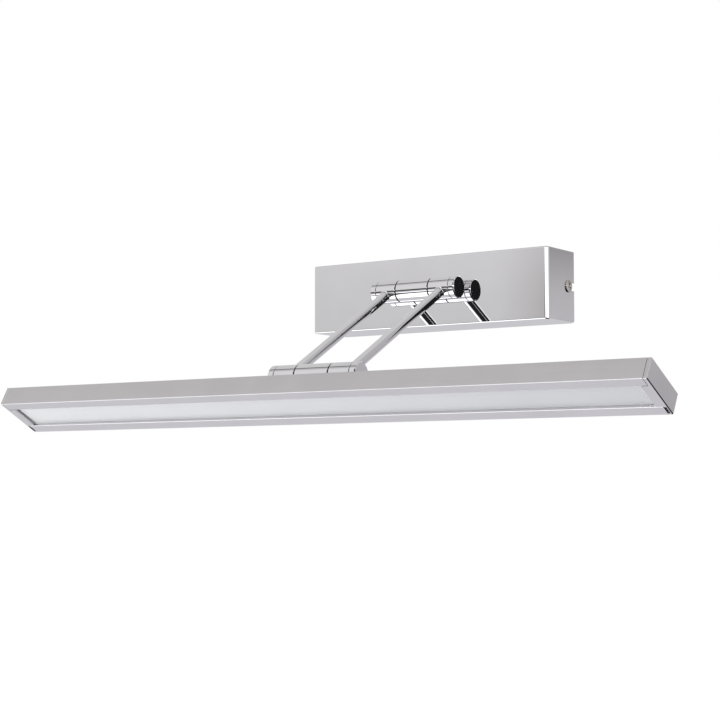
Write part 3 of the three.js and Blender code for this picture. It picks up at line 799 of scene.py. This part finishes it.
def circle(radius, y, steps=TUBE_STEPS):
    angles = [math.tau * i / steps for i in range(steps)]
    return [Vector((radius * math.cos(a), y, radius * math.sin(a))) for a in angles]


def build_arm_tubes():
    inner = TUBE_RADIUS - TUBE_WALL
    middle = -ARM_LENGTH / 2
    upper = [
        circle(inner, -TUBE_END),
        circle(TUBE_RADIUS, -TUBE_END),
        *saddle_rings(TUBE_RADIUS, FILLET),
    ]
    lower = [[Vector((p.x, 2 * middle - p.y, p.z)) for p in ring] for ring in reversed(upper)]
    for side, sign in SIDES.items():
        tube = shape("arm_pipe_" + side, lambda bm: add_rings(bm, upper + lower, loop=True))
        matrix = ARMS @ Matrix.Translation((sign * arm_x, 0, 0))
        finish_piece(tube, "arms", chrome, ["arm_tube_" + side], matrix)


def cap_profile():
    """An end cap: bored for the axle at its inner face, with a plain turned outer face."""
    rim = BARREL_RADIUS - CAP_CHAMFER
    shell = rounded(
        [
            (rim - 0.7, cap_end, 0),
            (rim, cap_end, 0.15),
            (BARREL_RADIUS, cap_end - CAP_CHAMFER, 0.15),
            (BARREL_RADIUS, cap_start + 0.15, 0.08),
            (BARREL_RADIUS - 0.15, cap_start, 0.08),
            (AXLE_BORE + 1, cap_start, 0),
        ],
        steps=4,
        closed=False,
    )
    face = [(0, cap_end), (2.5, cap_end), (4.7, cap_end)]
    bore_floor = cap_start + THREAD_DEPTH
    back = [(AXLE_BORE, cap_start), (AXLE_BORE, bore_floor), (0, bore_floor)]
    return face + [tuple(point) for point in shell] + back


def cap_zones(cap):
    """For each face of an end cap: 0 plated outside, 1 turned end face."""
    return [int(face.normal.x > 0.9 and face.center.x > cap_end - 0.1) for face in cap.data.polygons]


def build_outer_barrels():
    """Knuckles, end caps and friction washers of both hinges, on both sides."""
    knuckle = ring_profile(AXLE_BORE, BARREL_RADIUS, knuckle_start, knuckle_end, 0.15, 0.15, 0.08)
    washer = ring_profile(AXLE_BORE, WASHER_RADIUS, washer_start, washer_end, 0.1, 0.1, 0.05)
    cap = cap_profile()
    for level, y in (("upper", 0), ("lower", -ARM_LENGTH)):
        for side in SIDES:
            matrix = ARMS @ Matrix.Translation((0, y, 0)) @ MIRROR[side]
            tail = level + "_" + side
            parts = [
                ("knuckle_", "knuckle", knuckle, True, chrome, "chrome"),
                ("friction_ring_", "friction_washer", washer, True, black_plastic, "black_plastic"),
                ("socket_cap_", "end_cap", cap, False, chrome, "chrome"),
            ]
            for prefix, part, profile, loop, look, slot in parts:
                made = shape(prefix + tail, lambda bm: add_turned(bm, profile, loop=loop))
                node = level + "_" + part + "_" + side
                zones = cap_zones(made) if part == "end_cap" else None
                finish_piece(made, "arms", look, [node], matrix)
                if zones:
                    made.data.materials.append(turned_faces[level])
                    made.data.polygons.foreach_set("material_index", zones)


def build_post(level, body, matrix, face, stud_end):
    """The neck from a barrel to the face it stands on, and its hollow stud, drawn along -Y."""
    neck = saddle_rings(NECK_RADIUS, FILLET)
    foot = [
        (NECK_RADIUS, -face + 1.0),
        (NECK_RADIUS, -face + 0.35),
        (NECK_RADIUS - 0.15, -face + 0.1),
        (STUD_RADIUS, -face + 0.1),
        (STUD_RADIUS, -stud_end + 0.3),
        (STUD_RADIUS - 0.3, -stud_end),
        (LEAD_WAY_RADIUS, -stud_end),
        (LEAD_WAY_RADIUS, -BARREL_RADIUS + 2.6),
        (NECK_RADIUS - 0.4, -BARREL_RADIUS + 2.6),
    ]
    rings = neck + [circle(radius, y) for radius, y in foot]
    post = shape(level + "_post", lambda bm: add_rings(bm, rings, loop=True))
    finish_piece(post, body, chrome, [], matrix)


# ------------------------------------------------------------------ lamp head


def build_housing():
    """The extrusion: top, sides, two inner shelves and the two rims beside the light slot."""
    y1, z1 = HEAD_HALF_WIDTH, HEAD_HALF_THICKNESS
    inner_y, inner_z = y1 - HEAD_WALL, z1 - HEAD_WALL
    front, rear = -y1 + FRONT_RIM, y1 - REAR_RIM
    rim_top = -z1 + RIM_THICKNESS
    shelf = inner_y - SHELF_WIDTH
    corner = HEAD_CORNER
    outline = rounded(
        [
            (-y1, z1, corner),
            (-y1, -z1, corner),
            (front, -z1, 0.35),
            (front, rim_top, 0.2),
            (-inner_y, rim_top, 0.2),
            (-inner_y, SHELF_BOTTOM, 0.1),
            (-shelf, SHELF_BOTTOM, 0.1),
            (-shelf, 0, 0.1),
            (-inner_y, 0, 0.1),
            (-inner_y, inner_z, 0.3),
            (inner_y, inner_z, 0.3),
            (inner_y, 0, 0.1),
            (shelf, 0, 0.1),
            (shelf, SHELF_BOTTOM, 0.1),
            (inner_y, SHELF_BOTTOM, 0.1),
            (inner_y, rim_top, 0.2),
            (rear, rim_top, 0.2),
            (rear, -z1, 0.35),
            (y1, -z1, corner),
            (y1, z1, corner),
        ],
        steps=5,
    )
    housing = shape(
        "lamp_housing", lambda bm: add_prism(bm, outline, -housing_end, housing_end, along_x)
    )
    matrix = Matrix.Translation((0, HEAD_SETBACK, 0)) @ Matrix.Rotation(-math.pi / 2, 4, "Y")
    hole = STUD_RADIUS + 0.2
    tool = shape(
        "stud_tool",
        lambda bm: add_turned(bm, pin(hole, 2, 9), 64, matrix.inverted()),
    )
    combine(housing, "DIFFERENCE", tool)
    soften_edges(housing, 0.18, 2, 60)
    finish_piece(housing, "lamp_head", head_metal, ["head_housing"], LAMP)


def end_plate_rings(start, end):
    """Outlines of the end plate: eased edges, and a chamfer below its outer face."""
    y1, z1 = HEAD_HALF_WIDTH, HEAD_HALF_THICKNESS
    ease, chamfer = 0.3, 0.5

    def eased(depth):
        return ease - math.sqrt(max(ease**2 - max(ease - depth, 0) ** 2, 0))

    rings = []
    for x, depth in [(start, 0), (start + 0.1, 0.1), (start + ease, ease)]:
        rings.append((x, eased(depth), eased(depth)))
    for depth in (chamfer, ease, 0.18, 0.09, 0.03, 0):
        rings.append((end - depth, eased(depth), chamfer - depth))
    outlines = []
    for x, side, bottom in rings:
        low = -z1 + bottom
        corners = [(-y1 + side, low), (y1 - side, low), (y1 - side, z1 - side), (-y1 + side, z1 - side)]
        outline = rounded([(a, b, HEAD_CORNER) for a, b in corners], steps=5)
        outlines.append([Vector((x, a, b)) for a, b in outline])
    return outlines


def build_head_caps():
    """End plates with a flange between the rims and a tongue inside the housing."""
    start = head_cap_end - HEAD_CAP_THICKNESS
    y1, z1 = HEAD_HALF_WIDTH, HEAD_HALF_THICKNESS
    front = -y1 + FRONT_RIM + FLANGE_GAP
    rear = y1 - REAR_RIM - FLANGE_GAP

    def plate(bm):
        rows = add_rings(bm, end_plate_rings(start, head_cap_end))
        bm.faces.new(rows[0])
        bm.faces.new(rows[-1])

    for side in SIDES:
        cap = shape("lamp_end_" + side, plate)
        pocket = shape(
            "pocket",
            lambda bm: add_block(
                bm, (start - 1, y1 - REAR_RIM + 0.4, -z1 - 1), (head_cap_end - 0.9, y1 - 1.3, -z1 + 3)
            ),
        )
        combine(cap, "DIFFERENCE", pocket)
        flange = shape(
            "flange",
            lambda bm: add_block(
                bm, (start - FLANGE_LENGTH, front, -z1), (start + 1, rear, -z1 + RIM_THICKNESS)
            ),
        )
        soften_edges(flange, 0.15, 2, 60)
        tongue = shape(
            "tongue",
            lambda bm: add_block(
                bm, (start - 10, -14, BOARD_TOP + 0.2), (start + 1, 14, z1 - HEAD_WALL - 0.1)
            ),
        )
        combine(cap, "UNION", flange, tongue)
        finish_piece(
            cap, "lamp_head", head_metal, ["head_cap_" + side], LAMP @ MIRROR[side]
        )


def build_diffuser():
    half_length = housing_end - 0.2
    panel = shape(
        "opal_panel",
        lambda bm: add_block(
            bm,
            (-half_length, -DIFFUSER_HALF_WIDTH, DIFFUSER_BOTTOM),
            (half_length, DIFFUSER_HALF_WIDTH, DIFFUSER_TOP),
        ),
    )
    soften_edges(panel, 0.25, 3, 60)
    finish_piece(panel, "lamp_head", opal, ["diffuser"], LAMP)


# ------------------------------------------------------------------ CAD nodes that stay


def dress(node, look, edge_mm=0.0):
    """Gives a CAD node its material and, where asked, softened edges."""
    piece = frame["nodes"][node]
    piece.data.materials.clear()
    piece.data.materials.append(look)
    if edge_mm:
        bevel = piece.modifiers.new("soften", "BEVEL")
        bevel.width = edge_mm * MM
        bevel.segments = 2
        bevel.limit_method = "ANGLE"
        bevel.angle_limit = math.radians(50)


def dress_inner_parts():
    dress("driver_case", black_plastic, 0.4)
    dress("terminal_block", white_plastic, 0.2)
    for node in ("driver_screw_left", "driver_screw_right", "terminal_screw", "earth_screw", "earth_tag"):
        dress(node, zinc)
    for level in ("upper", "lower"):
        dress(level + "_post_washer", zinc)
        dress(level + "_post_nut", zinc, 0.2)
        dress(level + "_axle", zinc)
    dress("live_lead", brown_sleeve)
    dress("neutral_lead", blue_sleeve)
    dress("earth_lead", green_sleeve)
    for node in ("output_lead", "head_lead", "arm_lead_right", "arm_lead_left"):
        dress(node, white_sleeve)
    dress("led_board", white_board)


# ------------------------------------------------------------------ studio


class Studio:
    """The world shader: soft panels and dark flags placed by direction round the object."""

    def __init__(self):
        world = bpy.data.worlds.new("studio")
        bpy.context.scene.world = world
        world.use_nodes = True
        self.tree = world.node_tree
        self.tree.nodes.clear()
        split = self.tree.nodes.new("ShaderNodeSeparateXYZ")
        place = self.tree.nodes.new("ShaderNodeTexCoord")
        self.tree.links.new(place.outputs["Generated"], split.inputs["Vector"])
        x, y, z = split.outputs
        back = self.math("MULTIPLY", y, -1)
        self.measures = {
            "x": x,
            "roll": self.degrees(self.math("ARCTAN2", z, y)),
            "front_roll": self.degrees(self.math("ARCTAN2", z, back)),
            "heading": self.degrees(self.math("ARCTAN2", y, x)),
            "rise": self.degrees(self.math("ARCSINE", z, 0)),
        }

    def math(self, operation, first, second):
        node = self.tree.nodes.new("ShaderNodeMath")
        node.operation = operation
        for socket, value in zip(node.inputs, (first, second)):
            if isinstance(value, (int, float)):
                socket.default_value = value
            else:
                self.tree.links.new(value, socket)
        return node.outputs["Value"]

    def degrees(self, angle):
        return self.math("MULTIPLY", angle, 180 / math.pi)

    def ramp(self, value, start, stop):
        node = self.tree.nodes.new("ShaderNodeMapRange")
        node.interpolation_type = "SMOOTHSTEP"
        node.inputs["From Min"].default_value = start
        node.inputs["From Max"].default_value = stop
        self.tree.links.new(value, node.inputs["Value"])
        return node.outputs["Result"]

    def between(self, measure, low, high, soft):
        value = self.measures[measure]
        rise = self.ramp(value, low - soft / 2, low + soft / 2)
        fall = self.ramp(value, high - soft / 2, high + soft / 2)
        return self.math("MULTIPLY", rise, self.math("SUBTRACT", 1, fall))

    def area(self, **limits):
        """The region inside every (low, high, softness) limit."""
        region = None
        for measure, (low, high, soft) in limits.items():
            band = self.between(measure, low, high, soft)
            region = band if region is None else self.math("MULTIPLY", region, band)
        return region

    def mix(self, factor, first, second):
        node = self.tree.nodes.new("ShaderNodeMix")
        node.data_type = "RGBA"
        colours = [socket for socket in node.inputs if socket.type == "RGBA"]
        self.tree.links.new(factor, node.inputs["Factor"])
        for socket, value in zip(colours, (first, second)):
            if isinstance(value, tuple):
                socket.default_value = (*value, 1)
            else:
                self.tree.links.new(value, socket)
        return next(socket for socket in node.outputs if socket.type == "RGBA")


def build_studio():
    studio = Studio()
    low_tone, high_tone = (0.68, 0.675, 0.71), (0.69, 0.685, 0.69)
    colour = studio.mix(studio.ramp(studio.measures["rise"], -8, 0), low_tone, high_tone)
    bright, white, black = (3.0, 3.0, 3.05), (2.0, 2.0, 2.03), (0.015, 0.015, 0.016)
    panels = [
        # dimmer skirting behind the object
        (dict(heading=(70, 175, 10), rise=(-20, -4, 3)), (0.615, 0.61, 0.643)),
        # dark floor to the right, below the object
        (dict(x=(-0.15, 0.85, 0.12), roll=(-175, -35, 14), rise=(-95, -6, 5)), (0.02, 0.02, 0.022)),
        # low dark gap along the front of the studio, narrower on the left
        (dict(x=(-0.3, 0.62, 0.1), front_roll=(-22, 5.6, 1.6)), (0.02, 0.02, 0.02)),
        (dict(x=(-0.62, -0.3, 0.1), front_roll=(-8, 5.6, 2)), (0.06, 0.06, 0.06)),
        # warm shade beside the front opening
        (dict(heading=(-118.3, -80, 4), rise=(3.5, 40, 4)), (0.31, 0.29, 0.285)),
        # large white panel to the front left, below
        (dict(x=(-0.95, -0.3, 0.1), roll=(-160, -98, 6)), white),
        # dark wall to the right of the front opening
        (dict(heading=(-116, -28, 4), rise=(-12, 34, 4)), black),
        # white strip across the dark wall, with a gap for the camera
        (dict(heading=(-86, -67, 4), rise=(3.6, 10, 1.6)), bright),
        (dict(heading=(-47, -6, 5), rise=(3.6, 10, 1.6)), bright),
        # white card above the front opening
        (dict(heading=(-115, -75, 5), rise=(11, 28, 3)), white),
        # soft box above the front
        (dict(x=(-0.9, 0.3, 0.15), roll=(122, 170, 8)), (0.81, 0.80, 0.81)),
        # shade at the soft box's upper edge
        (dict(x=(-0.95, -0.15, 0.1), roll=(107, 121, 5)), (0.565, 0.545, 0.55)),
        # thin dark gap overhead
        (dict(x=(-1.1, 1.1, 0.05), roll=(98, 106, 4)), (0.1, 0.1, 0.105)),
        # dim ceiling to the right
        (dict(x=(0.28, 0.75, 0.15), roll=(46, 68, 8)), (0.55, 0.54, 0.56)),
        # small white card high in front, for the rims of the hinge caps
        (dict(x=(-0.42, -0.1, 0.06), front_roll=(8, 32, 6)), white),
        # grey wall behind, to the right
        (dict(heading=(42, 80, 6), rise=(-8, 7, 3.5)), (0.58, 0.565, 0.59)),
        (dict(heading=(42, 80, 6), rise=(-8, 4.2, 2)), (0.46, 0.445, 0.47)),
        (dict(heading=(42, 80, 6), rise=(7, 40, 3.5)), (0.33, 0.32, 0.33)),
        # paler end of the grey wall
        (dict(heading=(38, 55, 5), rise=(-4, 45, 4)), (0.52, 0.51, 0.53)),
    ]
    for limits, tone in panels:
        colour = studio.mix(studio.area(**limits), colour, tone)

    path = studio.tree.nodes.new("ShaderNodeLightPath")
    seen = studio.mix(path.outputs["Is Camera Ray"], colour, (1.0, 1.0, 1.0))
    background = studio.tree.nodes.new("ShaderNodeBackground")
    output = studio.tree.nodes.new("ShaderNodeOutputWorld")
    studio.tree.links.new(seen, background.inputs["Color"])
    studio.tree.links.new(background.outputs["Background"], output.inputs["Surface"])


def build_fill_light(name, energy, location):
    """A broad soft lamp low beside the object, for the pieces that are not mirrors."""
    lamp = bpy.data.lights.new(name, "AREA")
    lamp.shape = "DISK"
    lamp.size = 0.8
    lamp.energy = energy
    made = bpy.data.objects.new(name, lamp)
    made.location = location
    aim = Vector((-0.1, -0.18, -0.08)) - made.location
    made.rotation_euler = aim.to_track_quat("-Z", "Y").to_euler()
    made.visible_glossy = False
    bpy.context.scene.collection.objects.link(made)


def build_floor():
    """A plain white floor well below the light."""
    bm = bmesh.new()
    bmesh.ops.create_grid(bm, x_segments=8, y_segments=8, size=40)
    floor = as_object("floor", bm)
    floor.location.z = -0.6
    look = Look("floor")
    tone = look.remap(look.noise(3, 2), 0, 1)
    look.drive("Base Color", look.mix(tone, (0.9, 0.9, 0.9), (0.93, 0.93, 0.93)))
    look.set(Roughness=0.9, Emission_Color=(1, 1, 1, 1), Emission_Strength=0.9)
    floor.data.materials.append(look.material)
    floor.visible_glossy = False
    floor.visible_diffuse = False
    floor.visible_shadow = False


def build_camera():
    camera = bpy.data.objects.new("camera", bpy.data.cameras.new("camera"))
    camera.data.sensor_width = 36
    camera.data.lens = 86.2
    camera.location = (0.597727, -0.976625, -0.12969)
    camera.rotation_euler = (math.radians(94.363), 0, math.radians(34.59))
    bpy.context.scene.collection.objects.link(camera)
    bpy.context.scene.camera = camera


# ------------------------------------------------------------------ the picture light

build_camera()
build_studio()
build_fill_light("front_fill", 2.6, (-0.75, -0.9, -0.55))
build_fill_light("rear_fill", 9, (-0.85, 0.45, -0.75))
build_floor()

build_cover()
build_bracket()
build_grommet()
build_cover_screws()
build_barrel("upper", "wall_mount", UPPER, "upper_hinge_barrel")
face_distance = cover_low.y - upper_axis.y
post_turn = Matrix.Rotation(math.pi, 4, "X")
build_post("upper", "wall_mount", UPPER @ post_turn, face_distance, face_distance + 8.5)

build_outer_barrels()
build_arm_tubes()

build_barrel("lower", "lamp_head", HEAD, "lower_hinge_barrel")
lower_face = HEAD_DROP - HEAD_HALF_THICKNESS
lower_turn = Matrix.Rotation(math.pi / 2, 4, "X")
build_post("lower", "lamp_head", HEAD @ lower_turn, lower_face, lower_face + HEAD_WALL + 3)
build_housing()
build_head_caps()
build_diffuser()
dress_inner_parts()

bpy.context.scene.view_settings.view_transform = "Standard"
